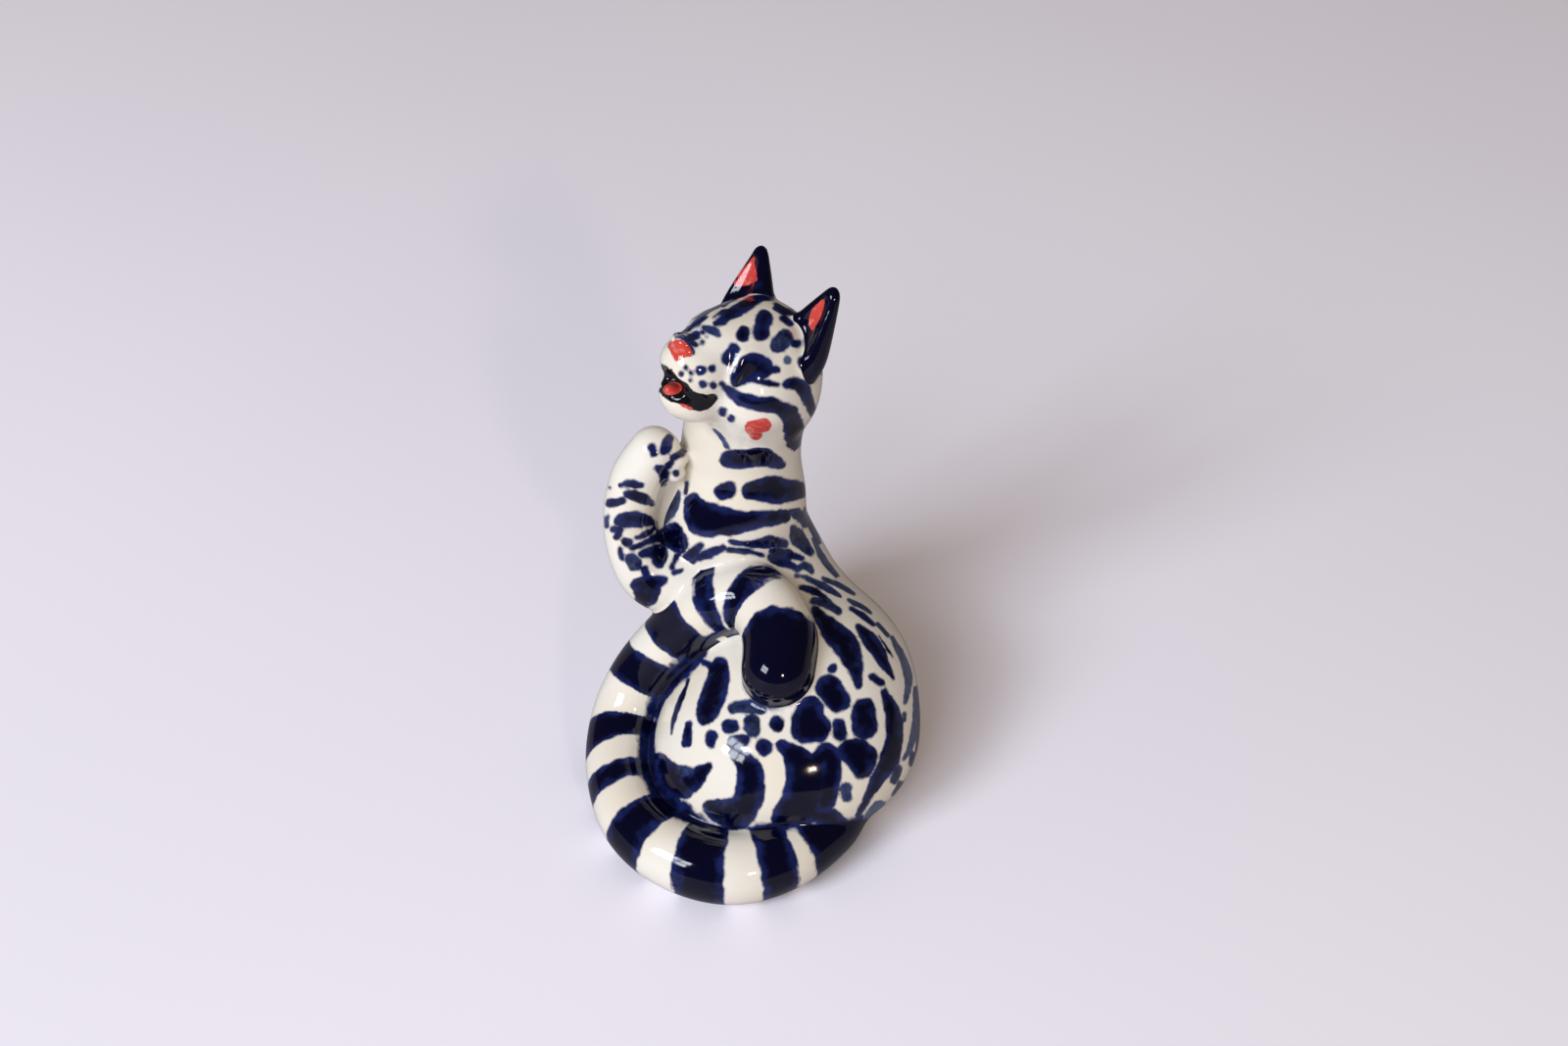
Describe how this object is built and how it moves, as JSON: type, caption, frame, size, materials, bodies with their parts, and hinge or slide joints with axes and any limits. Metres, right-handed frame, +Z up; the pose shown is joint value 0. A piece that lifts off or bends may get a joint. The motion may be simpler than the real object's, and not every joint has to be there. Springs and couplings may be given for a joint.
{
  "type": "cat figurine",
  "caption": "Small glazed porcelain cat, seated with its head turned and one forepaw lifted to its open mouth, its striped tail wrapped round and over its haunch.",
  "frame": {"origin": "middle of the footprint, at the surface the figurine stands on", "axes": "+Z up; the cat's chest faces -X, its left side and its rump face -Y"},
  "size_m": [0.0515, 0.061, 0.0799],
  "materials": {
    "painted_glaze": "cream-white porcelain under a clear gloss glaze, hand painted with cobalt blue spots and strokes",
    "banded_glaze": "cream-white porcelain with broad cobalt blue rings under a clear gloss glaze",
    "cobalt_glaze": "cobalt blue with coral inside the ear, under a clear gloss glaze",
    "coral_glaze": "coral red under a clear gloss glaze"
  },
  "bodies": {
    "root": {"body_shell": "painted_glaze", "head": "painted_glaze", "left_foreleg": "painted_glaze", "right_foreleg": "painted_glaze", "left_hind_leg": "painted_glaze", "right_hind_leg": "painted_glaze", "left_ear": "cobalt_glaze", "right_ear": "cobalt_glaze", "tail": "banded_glaze", "tongue": "coral_glaze"}
  },
  "joints": []
}
